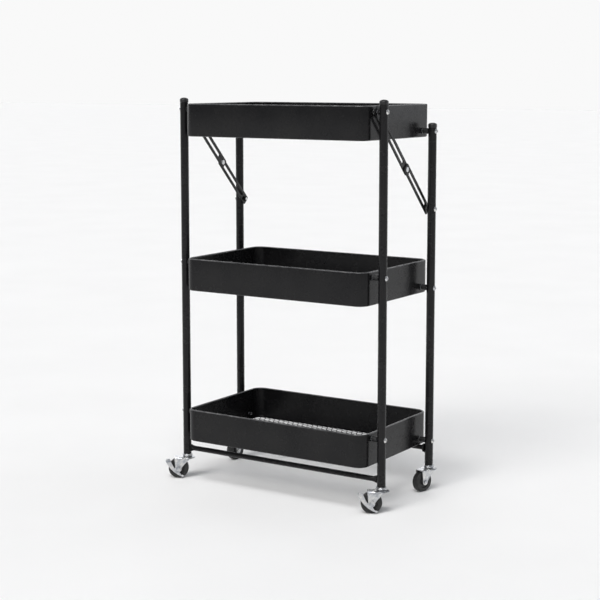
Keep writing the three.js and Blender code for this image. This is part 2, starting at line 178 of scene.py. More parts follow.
def moulded_plastic():
    """Fine-matt moulded black plastic."""
    surface = Surface("moulded_black_plastic")
    colour = surface.ramp(surface.noise(60), [(0.3, (0.010, 0.010, 0.011)), (0.7, (0.017, 0.017, 0.018))])
    roughness = surface.spread(surface.noise(210, detail=4), 0.34, 0.48)
    texture = surface.bump(surface.noise(1700, detail=2), 0.2, 0.06 * MM)
    return surface.finish(colour, roughness, texture)


def tread_rubber():
    """Satin black tread, greyed a little by dust from the floor."""
    surface = Surface("caster_tread")
    colour = surface.ramp(surface.noise(90, detail=6, roughness=0.65), [
        (0.3, (0.009, 0.009, 0.0095)), (0.62, (0.016, 0.016, 0.016)), (0.8, (0.034, 0.033, 0.031))])
    roughness = surface.spread(surface.noise(160, detail=4), 0.4, 0.62)
    texture = surface.bump(surface.noise(1300, detail=3), 0.25, 0.08 * MM)
    return surface.finish(colour, roughness, texture)


def pale_floor():
    surface = Surface("pale_floor")
    surface.shader.inputs["Specular IOR Level"].default_value = 0.0
    colour = surface.ramp(surface.noise(3), [(0.3, (0.88, 0.88, 0.88)), (0.7, (0.9, 0.9, 0.9))])
    roughness = surface.spread(surface.noise(30), 0.55, 0.65)
    texture = surface.bump(surface.noise(400), 0.03, 0.1 * MM)
    return surface.finish(colour, roughness, texture)


FINISHES = {
    "black_steel": powder_coat(),
    "zinc": zinc_plate(),
    "black_plastic": moulded_plastic(),
    "black_rubber": tread_rubber(),
}
# painted highlight for the tray rims
RIM_HIGHLIGHT = rim_highlight_coat()


# ---- Shapes: a shape is a pair of vertices and faces ----------------------------------------
def merged(*shapes):
    vertices, faces = [], []
    for points, polygons in shapes:
        start = len(vertices)
        vertices += [Vector(point) for point in points]
        faces += [[index + start for index in polygon] for polygon in polygons]
    return vertices, faces


def moved(shape, matrix):
    return [matrix @ Vector(point) for point in shape[0]], shape[1]


def shifted(shape, x=0.0, y=0.0, z=0.0):
    return moved(shape, Matrix.Translation((x, y, z)))


def arc(centre_a, centre_b, radius, start, end, steps):
    """Points on an arc in any plane, from start to end in degrees."""
    angles = [math.radians(start + (end - start) * i / steps) for i in range(steps + 1)]
    return [(centre_a + radius * math.cos(a), centre_b + radius * math.sin(a)) for a in angles]


def curve_points(start, control, end, steps=8):
    """A quadratic curve in two dimensions."""
    points = []
    for i in range(steps + 1):
        t = i / steps
        points.append(tuple((1 - t) ** 2 * a + 2 * t * (1 - t) * b + t * t * c
                            for a, b, c in zip(start, control, end)))
    return points


def grid(rows, close_rows=False, close_columns=False):
    """Quads between rows of points that all have the same length."""
    width = len(rows[0])
    points = [point for row in rows for point in row]
    faces = []
    for i in range(len(rows) if close_rows else len(rows) - 1):
        for j in range(width if close_columns else width - 1):
            a, b = i * width, (i + 1) % len(rows) * width
            k = (j + 1) % width
            faces.append([a + j, a + k, b + k, b + j])
    return points, faces


def strip_caps(point_count, columns):
    """End faces for a sheet whose rows run out along one side and back along the other."""
    width = 2 * columns
    return [[start + k, start + k + 1, start + width - 2 - k, start + width - 1 - k]
            for start in (0, point_count - width) for k in range(columns - 1)]


def lathe(profile, segments=48):
    """A solid of revolution about Z; its profile ends on the axis or closes on itself."""
    vertices, rings = [], []
    for radius, height in profile:
        if radius < ON_AXIS:
            rings.append([len(vertices)] * segments)
            vertices.append((0, 0, height))
            continue
        rings.append(list(range(len(vertices), len(vertices) + segments)))
        for i in range(segments):
            angle = FULL_TURN * i / segments
            vertices.append((radius * math.cos(angle), radius * math.sin(angle), height))
    closed = profile[0][0] > ON_AXIS
    faces = []
    for low, high in zip(rings, rings[1:] + (rings[:1] if closed else [])):
        for i in range(segments):
            j = (i + 1) % segments
            face = list(dict.fromkeys((low[i], low[j], high[j], high[i])))
            if len(face) > 2:
                faces.append(face)
    return vertices, faces


def taken_from(work):
    """The shape that a bmesh holds; the bmesh is freed."""
    work.verts.index_update()
    shape = [v.co.copy() for v in work.verts], [[v.index for v in f.verts] for f in work.faces]
    work.free()
    return shape


def softened(shape, width, sharper_than):
    """The shape with its sharp edges rounded."""
    work = bmesh.new()
    made = [work.verts.new(point) for point in shape[0]]
    for face in shape[1]:
        work.faces.new([made[i] for i in face])
    bmesh.ops.remove_doubles(work, verts=work.verts, dist=SAME_POINT)
    bmesh.ops.recalc_face_normals(work, faces=work.faces)
    limit = math.radians(sharper_than)
    sharp = [e for e in work.edges if len(e.link_faces) == 2 and e.calc_face_angle() > limit]
    bmesh.ops.bevel(work, geom=sharp, offset=width, segments=2, profile=0.6, affect="EDGES",
                    clamp_overlap=True)
    return taken_from(work)


def plate(outline, thickness, bevel, holes=()):
    """A flat plate in X and Y, centred on Z, with rounded edges and holes."""
    curve = bpy.data.curves.new("outline", "CURVE")
    curve.dimensions = "2D"
    curve.fill_mode = "BOTH"
    curve.extrude = thickness / 2 - bevel
    curve.bevel_depth = bevel
    curve.bevel_resolution = 2
    curve.offset = -bevel
    for points in (outline, *holes):
        spline = curve.splines.new("POLY")
        spline.points.add(len(points) - 1)
        for point, (x, y) in zip(spline.points, points):
            point.co = (x, y, 0, 1)
        spline.use_cyclic_u = True
    holder = bpy.data.objects.new("outline", curve)
    mesh = bpy.data.meshes.new_from_object(holder)
    work = bmesh.new()
    work.from_mesh(mesh)
    bmesh.ops.remove_doubles(work, verts=work.verts, dist=SAME_POINT)
    bpy.data.objects.remove(holder)
    bpy.data.curves.remove(curve)
    bpy.data.meshes.remove(mesh)
    return taken_from(work)


def stadium(start, end, radius, steps=10):
    """A slot's outline along X."""
    return arc(end, 0, radius, -90, 90, steps) + arc(start, 0, radius, 90, 270, steps)


def rounded_bar(start, end, half_width, corner, steps=4):
    """A straight bar's outline along X, with small rounded corners."""
    x0, x1, y = start + corner, end - corner, half_width - corner
    return (arc(x1, -y, corner, -90, 0, steps) + arc(x1, y, corner, 0, 90, steps)
            + arc(x0, y, corner, 90, 180, steps) + arc(x0, -y, corner, 180, 270, steps))


def rounded_polygon(corners, radius, steps=5):
    """A polygon's outline with its corners rounded."""
    points = []
    for i, corner in enumerate(corners):
        here = Vector(corner)
        before, after = Vector(corners[i - 1]), Vector(corners[(i + 1) % len(corners)])
        start = here + (before - here).normalized() * radius
        end = here + (after - here).normalized() * radius
        points += curve_points(start, here, end, steps)
    return points


def ring_of(radius, steps=24):
    return arc(0, 0, radius, 0, 360 - 360 / steps, steps - 1)


def add_piece(name, shape, slot, body, replaces=None, smooth_under=40):
    mesh = bpy.data.meshes.new(name)
    mesh.from_pydata([tuple(point) for point in shape[0]], [], shape[1])
    work = bmesh.new()
    work.from_mesh(mesh)
    bmesh.ops.remove_doubles(work, verts=work.verts, dist=SAME_POINT / 10)
    bmesh.ops.recalc_face_normals(work, faces=work.faces)
    work.to_mesh(mesh)
    work.free()
    mesh.shade_smooth()
    mesh.set_sharp_from_angle(angle=math.radians(smooth_under))
    mesh.materials.append(FINISHES[slot])
    piece = bpy.data.objects.new(name, mesh)
    bpy.context.scene.collection.objects.link(piece)
    if replaces:
        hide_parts(replaces)
    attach(piece, body)
    return piece


def middle(node):
    low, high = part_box(node)
    return (low + high) / 2


# ---- Posts and caps -----------------------------------------------------------------------
def post(rank, side):
    node = f"{rank}_{side}_post"
    low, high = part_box(node)
    radius = (high.y - low.y) / 2
    wall, lip = 1.2 * MM, 0.8 * MM
    bore = radius - wall
    profile = [(bore, low.z + lip)]
    profile += arc(radius - lip, low.z + lip, lip, 270, 360, 4)
    profile += [(radius, high.z), (bore, high.z)]
    place = Matrix.Translation((middle(node).x, middle(node).y, 0))
    add_piece(f"{node}_tube", moved(lathe(profile, 56), place), "black_steel", f"{rank}_frame", node)


def post_cap(rank, side):
    """A push-in cap: a short skirt over the tube's end and a low dome."""
    node = f"{rank}_{side}_post_cap"
    low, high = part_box(node)
    radius = (high.y - low.y) / 2
    skirt = high.z - 9 * MM
    dome_height, edge = 4.2 * MM, 0.4 * MM
    plug = radius - 2.2 * MM
    dome = [(radius * math.cos(a), high.z - dome_height + dome_height * math.sin(a))
            for a in (math.pi / 2 * i / 8 for i in range(9))]
    dome[-1] = (0, high.z)
    profile = [(0, low.z), (plug, low.z), (plug, skirt), (radius - edge, skirt)]
    profile += [(radius, skirt + edge)] + dome
    place = Matrix.Translation((middle(node).x, middle(node).y, 0))
    add_piece(f"{node}_dome", moved(lathe(profile, 40), place), "black_plastic", f"{rank}_frame", node)


# ---- Cross bars ---------------------------------------------------------------------------
def lofted_tube(stations, steps=28):
    """A closed tube along X through elliptical sections given as (x, half depth, half height)."""
    rows = []
    for x, depth, height in stations:
        turn = [FULL_TURN * i / steps for i in range(steps)]
        rows.append([(x, depth * math.cos(a), height * math.sin(a)) for a in turn])
    points, faces = grid(rows, close_columns=True)
    faces.append(list(range(steps)))
    faces.append(list(range(len(points) - steps, len(points))))
    return points, faces


def weld_bead(half_depth, half_height, thickness, steps=44):
    """A rippled bead laid round an oval joint that lies across X."""
    rows = []
    for i in range(steps):
        angle = FULL_TURN * i / steps
        ripple = thickness * (1 + 0.22 * math.sin(angle * 15))
        out = Vector((0, math.cos(angle), math.sin(angle)))
        centre = Vector((0, half_depth * math.cos(angle), half_height * math.sin(angle)))
        rows.append([centre + ripple * (math.cos(a) * out + Vector((math.sin(a), 0, 0)))
                     for a in (FULL_TURN * k / 8 for k in range(8))])
    return grid(rows, close_rows=True, close_columns=True)


def front_crossbar():
    """A round bar whose ends are pressed flat and flared against the posts."""
    low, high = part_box("front_crossbar")
    centre = middle("front_crossbar")
    radius, flare, tall, pressed = 5 * MM, 10 * MM, 7.4 * MM, 2.6 * MM
    half = (high.x - low.x) / 2
    stations = []
    for share in (0, 0.12, 0.3, 0.5, 0.7, 0.88, 1):
        ease = share * share * (3 - 2 * share)
        depth = pressed + (radius - pressed) * ease
        height = tall + (radius - tall) * ease
        stations.append((-half + flare * share, depth, height))
    stations += [(-x, depth, height) for x, depth, height in reversed(stations)]
    beads = [shifted(weld_bead(2.7 * MM, tall - 1.2 * MM, 1.1 * MM), x=side * (half - 0.9 * MM))
             for side in SIDES.values()]
    shape = merged(lofted_tube(stations), *beads)
    add_piece("front_crossbar_tube", moved(shape, Matrix.Translation(centre)), "black_steel", "front_frame",
              "front_crossbar")


def back_crossbar():
    """A round bar between two sloping tabs that reach down from the back posts."""
    low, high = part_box("back_crossbar")
    centre = middle("back_crossbar")
    radius, thickness, edge, bead_size = 4.75 * MM, 3 * MM, 0.5 * MM, 1.0 * MM
    bar_y = high.y - radius
    half = (high.x - low.x) / 2
    bar_z = centre.z - 2.5 * MM    # the tabs drop the bar a little below the middle
    tall = (high.z - low.z) / 2
    tube = lofted_tube([(-half + 1.2 * MM, radius, radius), (half - 1.2 * MM, radius, radius)])
    pieces = [moved(tube, Matrix.Translation((centre.x, bar_y, bar_z)))]
    for side in SIDES.values():
        outline = rounded_polygon([
            (low.y, tall), (low.y, -3 * MM), (bar_y - 9 * MM, -tall), (high.y, -tall), (high.y, 3 * MM),
            (low.y + 14 * MM, tall)], 3 * MM)
        tab = moved(plate(outline, thickness, edge), ON_EDGE)
        x = centre.x + side * (half - thickness / 2)
        pieces.append(shifted(tab, x=x, z=centre.z))
        bead = weld_bead(radius, radius, bead_size)
        pieces.append(shifted(bead, x=centre.x + side * (half - thickness), y=bar_y, z=bar_z))
    add_piece("back_crossbar_tube", merged(*pieces), "black_steel", "back_frame", "back_crossbar")


# ---- Trays --------------------------------------------------------------------------------
TRAY_CORNER = 22 * MM
FLANGE_WIDTH = 8 * MM
SHEET = 1.2 * MM
RIM_RADIUS = 1.75 * MM


def tray_stations(low, high, corner_steps=18, straight_steps=6):
    """Points round the tray's outer wall, each with its outward direction."""
    corners = [(high.x, high.y, 0), (low.x, high.y, 90), (low.x, low.y, 180), (high.x, low.y, 270)]
    stations = []
    for corner_x, corner_y, start in corners:
        inward_x = -1 if corner_x == high.x else 1
        inward_y = -1 if corner_y == high.y else 1
        centre_x = corner_x + inward_x * TRAY_CORNER
        centre_y = corner_y + inward_y * TRAY_CORNER
        for i in range(corner_steps + 1):
            angle = math.radians(start + 90 * i / corner_steps)
            out = Vector((math.cos(angle), math.sin(angle), 0))
            stations.append((Vector((centre_x, centre_y, 0)) + TRAY_CORNER * out, out))
    filled = []
    for (point, out), (next_point, _) in zip(stations, stations[1:] + stations[:1]):
        filled.append((point, out))
        if (next_point - point).length > 2 * TRAY_CORNER:
            for i in range(1, straight_steps):
                filled.append((point.lerp(next_point, i / straight_steps), out))
    return filled


def tray_section(bottom, top):
    """The pressed sheet's section as (inset, height): lip, bottom bend, wall and rolled rim."""
    bend, bead = 3.2 * MM, RIM_RADIUS
    fold = bend - SHEET
    outer = arc(bend, bottom + bend, bend, 270, 180, 6)
    rim = arc(bead, top - bead, bead, 180, -80, 16)
    inner_wall = [(SHEET + 0.25 * MM, top - 2 * bead - 0.2 * MM), (SHEET, top - 2 * bead - 1.2 * MM)]
    inner_bend = arc(bend, bottom + bend, fold, 180, 270, 5)
    edge = FLANGE_WIDTH
    lip = [(edge - 0.4 * MM, bottom + SHEET), (edge, bottom + SHEET / 2), (edge - 0.4 * MM, bottom)]
    return outer + rim + inner_wall + inner_bend + lip


def tray_shell(tray):
    node = f"{tray}_tray_shell"
    low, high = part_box(node)
    section = tray_section(low.z, high.z)
    rows = [[(point.x - out.x * inset, point.y - out.y * inset, z) for inset, z in section]
            for point, out in tray_stations(low, high)]
    wall = grid(rows, close_rows=True, close_columns=True)
    piece = add_piece(f"{node}_pressing", wall, "black_steel", f"{tray}_tray", node, smooth_under=50)
    piece.data.materials.append(RIM_HIGHLIGHT)
    # the rim's upward faces take the painted highlight coat
    highlight_least_upward = 0.12
    for face in piece.data.polygons:
        if face.center.z > high.z - RIM_RADIUS and face.normal.z > highlight_least_upward:
            face.material_index = 1


def mesh_floor(tray):
    """Expanded metal: strands zigzag from front to back and meet at long knuckles."""
    node = f"{tray}_tray_mesh_floor"
    low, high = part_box(node)
    short_way, long_way, knuckle = 11.8 * MM, 25 * MM, 3.4 * MM
    width, thickness, tilt = 1.9 * MM, 0.85 * MM, math.radians(27)
    clearance, end_gap = 2.2 * MM, 0.6 * MM      # from the tray's outside, and beyond the last strand
    corner = TRAY_CORNER - clearance
    along = Vector((math.cos(tilt), 0, math.sin(tilt))) * width / 2
    across = Vector((-math.sin(tilt), 0, math.cos(tilt))) * thickness / 2
    section = (along + across, across - along, -along - across, along - across)
    centre = (low + high) / 2
    half_x, half_y = (high.x - low.x) / 2, (high.y - low.y) / 2
    each_way = int((half_x - end_gap) / (short_way / 2))
    strands = []
    for number in range(-each_way, each_way + 1):
        x = number * short_way / 2
        beyond = max(0.0, abs(x) - (half_x - corner))
        reach = half_y - corner + math.sqrt(corner * corner - beyond * beyond)
        steps = int((reach - knuckle / 2) / (long_way / 2))
        line = []
        for k in range(-steps, steps + 1):
            swing = (short_way - width) / 4 * (1 if (k + number) % 2 else -1)
            for end in (-knuckle / 2, knuckle / 2):
                y = centre.y + k * long_way / 2 + end
                line.append(Vector((centre.x + x + swing, y, centre.z)))
        for end, way in ((0, -1), (-1, 1)):
            line[end].y = centre.y + way * reach
        points, faces = grid([[point + offset for offset in section] for point in line], close_columns=True)
        faces += [[0, 1, 2, 3], [len(points) - 1 - i for i in range(4)]]
        strands.append((points, faces))
    add_piece(f"{node}_strands", merged(*strands), "black_steel", f"{tray}_tray", node, smooth_under=30)


# ---- Pivot bolts --------------------------------------------------------------------------
def domed_head(radius, height, socket_radius, steps=7):
    """A button head standing on Z = 0, with a hexagon socket."""
    dome = [(radius, 0.25 * height)]
    for i in range(1, steps + 1):
        share = i / steps
        r = radius - (radius - socket_radius - 0.4 * MM) * share
        dome.append((r, height * (0.25 + 0.75 * math.sin(share * math.pi / 2))))
    floor = height * 0.45
    profile = [(0, 0), (radius - 0.3 * MM, 0)] + dome + [(socket_radius, height - 0.3 * MM)]
    profile += [(socket_radius * 0.96, floor), (0, floor)]
    return lathe(profile, 30)


def hexagon_nut(width, height, bore):
    """A nut standing on Z = 0 with chamfered corners."""
    radius = width / math.sqrt(3)
    chamfer = 0.5 * MM
    profile = [(bore, 0), (radius - chamfer, 0), (radius, chamfer), (radius, height - chamfer),
               (radius - chamfer, height), (bore, height)]
    return lathe(profile, 6)


def nylon_collar(bore, height):
    """The lock nut's rounded collar with its nylon ring inside."""
    return lathe([
        (bore, 0), (bore + 1.5 * MM, 0), (bore + 1.3 * MM, height * 0.7), (bore + 0.8 * MM, height),
        (bore, height)], 24)


def washer(bore, radius, thickness):
    edge = 0.2 * MM
    return lathe([(bore, 0), (radius - edge, 0), (radius, edge), (radius, thickness - edge),
                  (radius - edge, thickness), (bore, thickness)], 30)


def threaded_rod(radius, start, end, thread_start):
    """A rod along Z from start to end, threaded from thread_start down to start."""
    pitch, depth = 0.8 * MM, 0.3 * MM
    profile = [(0, start), (radius - depth, start)]
    turns = max(1, int((thread_start - start) / pitch))
    for i in range(turns):
        z = start + i * pitch
        profile += [(radius - depth, z + 0.1 * pitch), (radius, z + 0.5 * pitch)]
        profile += [(radius - depth, z + 0.9 * pitch)]
    profile += [(radius, thread_start + depth), (radius, end), (0, end)]
    return lathe(profile, 20)


HEAD_SINK = 1.2 * MM      # a head's edge meets the round post this far below the post's outermost line


def pivot_bolt(node, body, side, spacers):
    """One pivot's bolt with its washers, lock nut and spacers.

    The spacers are given as distances from the trolley's middle.
    """
    low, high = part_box(node)
    centre = middle(node)
    outward = SIDES[side]
    frame_middle = middle("front_crossbar").x
    inner, outer = sorted((abs(low.x - frame_middle), abs(high.x - frame_middle)))
    head = 3.0 * MM
    seat = outer - 3.2 * MM - HEAD_SINK
    nut_bottom = inner + 1.0 * MM
    nut_top = nut_bottom + 3.2 * MM
    hardware = [
        threaded_rod(3 * MM, inner, seat + 0.5 * MM, nut_top + 3 * MM),
        shifted(domed_head(4.9 * MM, head, 1.9 * MM), z=seat),
    ]
    nut_bore = 2.9 * MM
    collar = moved(nylon_collar(nut_bore, 1.6 * MM), Matrix.Rotation(math.pi, 4, "X"))
    lock_nut = merged(
        shifted(hexagon_nut(8.4 * MM, 2.4 * MM, nut_bore), z=nut_bottom + 0.8 * MM),
        shifted(collar, z=nut_bottom + 0.9 * MM))
    hardware += [shifted(washer(3.1 * MM, 5.3 * MM, 0.7 * MM), z=start) for start, _ in spacers]
    place = Matrix.Translation((frame_middle, centre.y, centre.z))
    if outward < 0:
        place = place @ Matrix.Rotation(math.pi, 4, "Z")
    place = place @ ALONG_X
    add_piece(f"{node}_hardware", moved(merged(*hardware), place), "zinc", body, node)
    add_piece(f"{node}_lock_nut", moved(lock_nut, place), "black_steel", body)
    lip, radius, bore = 0.4 * MM, 5.5 * MM, 3.05 * MM
    sleeves = []
    for start, end in spacers:
        z0 = start + 0.75 * MM     # a sleeve begins just past its washer
        sleeves.append(lathe([(bore, z0), (radius - lip, z0), (radius, z0 + lip), (radius, end - lip),
                              (radius - lip, end), (bore, end)], 32))
    if sleeves:
        add_piece(f"{node}_spacer", moved(merged(*sleeves), place), "black_plastic", body)


def pivot_bolts():
    frame_middle = middle("front_crossbar").x
    gap = 0.3 * MM
    tray_low, tray_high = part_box("top_tray_shell")
    wall_distance = (tray_high.x - tray_low.x) / 2 + gap
    for side in SIDES:
        post_low, post_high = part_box(f"front_{side}_post")
        in_post = min(abs(post_low.x - frame_middle), abs(post_high.x - frame_middle)) - gap
        link_inner, link_outer = link_layer(f"{side}_brace_upper_link", frame_middle)
        for rank in RANKS:
            for tray in TRAYS:
                spacers = [(wall_distance, in_post)]
                if rank == "front" and tray == "top":
                    spacers = [(wall_distance, link_inner - gap), (link_outer + gap, in_post)]
                pivot_bolt(f"{tray}_tray_{rank}_{side}_pivot_bolt", f"{rank}_frame", side, spacers)
        lower_outer = link_layer(f"{side}_brace_lower_link", frame_middle)[1]
        pivot_bolt(f"{side}_brace_foot_bolt", "back_frame", side, [(lower_outer + gap, in_post)])


# ---- Braces -------------------------------------------------------------------------------
LINK_HALF_WIDTH = 9.5 * MM
LINK_CORNER = 3.6 * MM
SLOT_RADIUS = 3.25 * MM


def link_layer(node, frame_middle):
    low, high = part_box(node)
    return sorted((abs(low.x - frame_middle), abs(high.x - frame_middle)))


def brace_link(node, body, start, end, start_inset, end_inset):
    """A slotted flat link from one pivot to the next, both given as middles of their fasteners."""
    layer = middle(node).x
    run = Vector((0, end.y - start.y, end.z - start.z))
    length, slope = run.length, math.atan2(run.z, run.y)
    overhang, thickness, edge = 8.2 * MM, 2 * MM, 0.45 * MM
    bolt_hole = ring_of(3.3 * MM)
    holes = [stadium(start_inset, length - end_inset, SLOT_RADIUS),
             bolt_hole, [(x + length, y) for x, y in bolt_hole]]
    outline = rounded_bar(-overhang, length + overhang, LINK_HALF_WIDTH, LINK_CORNER)
    flat = plate(outline, thickness, edge, holes)
    place = Matrix.Translation((layer, start.y, start.z)) @ Matrix.Rotation(slope, 4, "X") @ ON_EDGE
    add_piece(f"{node}_plate", moved(flat, place), "black_steel", body, node)


def elbow_rivet(node, body, side, is_outer):
    """One half of the elbow rivet: a domed, set head with a dimple, on a short stub."""
    low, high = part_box(node)
    centre = middle(node)
    length = high.x - low.x
    radius, head, shank, dimple = 5 * MM, 1.3 * MM, 2.9 * MM, length - 0.5 * MM
    dome = [(radius * math.cos(a), length - head + head * math.sin(a))
            for a in (math.pi / 2 * i / 6 for i in range(5))]
    profile = [(0, 0), (shank, 0), (shank, length - head), (radius - 0.2 * MM, length - head)]
    profile += dome + [(1.2 * MM, length - 0.1 * MM), (0.8 * MM, dimple), (0, dimple)]
    points_outward = is_outer == (SIDES[side] > 0)
    place = Matrix.Translation((low.x if points_outward else high.x, centre.y, centre.z))
    place = place @ (ALONG_X if points_outward else Matrix.Rotation(-math.pi / 2, 4, "Y"))
    add_piece(f"{node}_head", moved(lathe(profile, 28), place), "zinc", body, node)


def braces():
    for side in SIDES:
        shoulder = middle(f"top_tray_front_{side}_pivot_bolt")
        elbow = middle(f"{side}_elbow_rivet_outer")
        foot = middle(f"{side}_brace_foot_bolt")
        upper, lower = f"{side}_brace_upper", f"{side}_brace_lower"
        brace_link(f"{upper}_link", upper, shoulder, elbow, 15 * MM, 22 * MM)
        brace_link(f"{lower}_link", lower, elbow, foot, 13 * MM, 15 * MM)
        elbow_rivet(f"{side}_elbow_rivet_inner", upper, side, False)
        elbow_rivet(f"{side}_elbow_rivet_outer", lower, side, True)


# ---- Casters: drawn about the swivel axis, trailing along +X with the axle along Y -------------
WHEEL_RADIUS = 20 * MM
TRAIL = 18 * MM
LEG_INNER = 8.6 * MM
LEG_SHEET = 1.8 * MM
CROWN_TOP = 43.2 * MM
LEG_END_RADIUS = 6.2 * MM
LEVER_SHEET = 1.6 * MM
KINGPIN_HOLE = 3.4 * MM      # radius of the hole through the fork's crown


def caster_tyre():
    half, shoulder = 6.9 * MM, 2.6 * MM
    groove = 12.2 * MM
    right = arc(WHEEL_RADIUS - shoulder, half - shoulder, shoulder, 0, 90, 6)
    right += [(groove, half), (groove, half - 1.4 * MM)]
    left = [(radius, -width) for radius, width in reversed(right)]
    return lathe(left + right, 72)


def caster_hub():
    """The moulded wheel centre: a dished web with rings and a boss each side."""
    right = [(12.1 * MM, 5.2 * MM), (11.4 * MM, 5.9 * MM), (10.4 * MM, 5.9 * MM), (9.9 * MM, 4.9 * MM),
             (7.4 * MM, 4.9 * MM), (6.9 * MM, 6.2 * MM), (5.9 * MM, 7.6 * MM), (2.9 * MM, 7.6 * MM)]
    left = [(radius, -width) for radius, width in reversed(right)]
    return lathe(left + right, 56)


def leg_edges(z):
    """The near and far edges of a fork leg at height z."""
    share = (z - WHEEL_RADIUS) / (CROWN_TOP - WHEEL_RADIUS)
    if share <= 0:
        half = math.sqrt(max(0.0, LEG_END_RADIUS ** 2 - (z - WHEEL_RADIUS) ** 2))
        return TRAIL - half, TRAIL + half
    front = TRAIL - LEG_END_RADIUS - (TRAIL - LEG_END_RADIUS + 9 * MM) * share ** 1.25
    back = TRAIL + LEG_END_RADIUS + 1.8 * MM * share ** 1.6
    return front, back


def caster_fork():
    """A pressed fork: one sheet bent over the wheel, with an embossed rib down each leg."""
    bend = 3 * MM
    outer_y = LEG_INNER + LEG_SHEET
    path = []
    for i in range(9):
        angle = -math.pi / 2 + math.pi / 2 * i / 8
        path.append((outer_y, WHEEL_RADIUS + LEG_END_RADIUS * math.sin(angle), 1.0, 0.0))
    steps = 9
    for i in range(1, steps + 1):
        path.append((outer_y, WHEEL_RADIUS + (CROWN_TOP - bend - WHEEL_RADIUS) * i / steps, 1.0, 0.0))
    for i in range(1, 6):
        angle = math.pi / 2 * i / 5
        path.append((outer_y - bend + bend * math.cos(angle), CROWN_TOP - bend + bend * math.sin(angle),
                     math.cos(angle), math.sin(angle)))
    path = path + [(-y, z, -across, up) for y, z, across, up in reversed(path)]
    columns = 11
    outside, inside = [], []
    for y, z, across, up in path:
        front, back = leg_edges(z)
        outer_row, inner_row = [], []
        for k in range(columns):
            share = k / (columns - 1)
            x = front + (back - front) * share
            upright = 1.0 if abs(across) > 0.9 else 0.0
            on_leg = max(0.0, min(1.0, (z - WHEEL_RADIUS - 7 * MM) / (5 * MM))) * upright
            rib = 0.55 * MM * on_leg * math.exp(-((share - 0.5) / 0.16) ** 2)
            rim = 0.35 * MM * on_leg * (1 if k in (0, columns - 1) else 0)
            lift = rib - rim
            outer_row.append(Vector((x, y + across * lift, z + up * lift)))
            inner_row.append(Vector((x, y - across * (LEG_SHEET - lift), z - up * (LEG_SHEET - lift))))
        outside.append(outer_row)
        inside.append(inner_row)
    rows = [outer + inner[::-1] for outer, inner in zip(outside, inside)]
    points, faces = grid(rows, close_columns=True)
    faces += strip_caps(len(points), columns)
    race = lathe([
        (KINGPIN_HOLE, CROWN_TOP - 1.5 * MM), (14.6 * MM, CROWN_TOP - 2.3 * MM),
        *arc(14.7 * MM, CROWN_TOP - 1.5 * MM, 0.75 * MM, -80, 80, 6),
        (13.2 * MM, CROWN_TOP), (12.2 * MM, CROWN_TOP + 0.4 * MM), (9.8 * MM, CROWN_TOP + 0.6 * MM),
        (8.8 * MM, CROWN_TOP + 1.3 * MM), (5 * MM, CROWN_TOP + 1.3 * MM),
        (KINGPIN_HOLE, CROWN_TOP + 0.9 * MM)], 48)
    dome = lathe([
        (KINGPIN_HOLE, 41.3 * MM), (13.6 * MM, 41.3 * MM), (12.4 * MM, 39.9 * MM),
        (KINGPIN_HOLE, 39.6 * MM)], 40)
    return merged((points, faces), race, dome)


def caster_stem(low, high):
    """The stem with its flange, the upper race and the riveted lower end."""
    ring = 1.05 * MM
    kingpin, stem_radius, rivet = 3 * MM, 4 * MM, 4.8 * MM
    rivet_top, flange_bottom, flange_top = 40.4 * MM, 45.1 * MM, 49.7 * MM
    flange = [(kingpin, flange_bottom), (8.6 * MM, flange_bottom)]
    flange += arc(9.0 * MM, flange_bottom + ring, ring, -90, 80, 6)
    flange += [(8.7 * MM, 47.5 * MM)] + arc(8.7 * MM, 48.6 * MM, ring, -80, 90, 6)
    flange += [(stem_radius, flange_top)]
    stem = [(stem_radius, high.z - 1 * MM), (3 * MM, high.z), (0, high.z)]
    lower = [(0, low.z), (3.6 * MM, low.z), (rivet, low.z + 0.7 * MM), (rivet, rivet_top),
             (kingpin, rivet_top)]
    return lathe(lower + flange + stem, 44)


def axle_bolt(near, far):
    """A hexagon-headed axle along Y with a lock nut on its far end."""
    head = 2.2 * MM
    rod = lathe([(0, -far), (2.5 * MM, -far), (2.5 * MM, near), (0, near)], 20)
    flat = hexagon_nut(7.4 * MM, head - 0.5 * MM, 0.0)
    flange = lathe([(0, 0), (4.4 * MM, 0), (4.4 * MM, 0.5 * MM), (0, 0.5 * MM)], 30)
    cap = lathe([(0, 0), (2.4 * MM, 0), (1.9 * MM, 0.5 * MM), (0, 0.6 * MM)], 24)
    near_head = merged(flange, shifted(flat, z=0.5 * MM), shifted(cap, z=head - 0.6 * MM))
    far_head = moved(merged(flange, shifted(hexagon_nut(7.4 * MM, head - 0.6 * MM, 2.3 * MM), z=0.5 * MM)),
                     Matrix.Rotation(math.pi, 4, "X"))
    shape = merged(rod, shifted(near_head, z=near), shifted(far_head, z=-far))
    return moved(shape, Matrix.Translation((TRAIL, 0, WHEEL_RADIUS)) @ ALONG_Y)


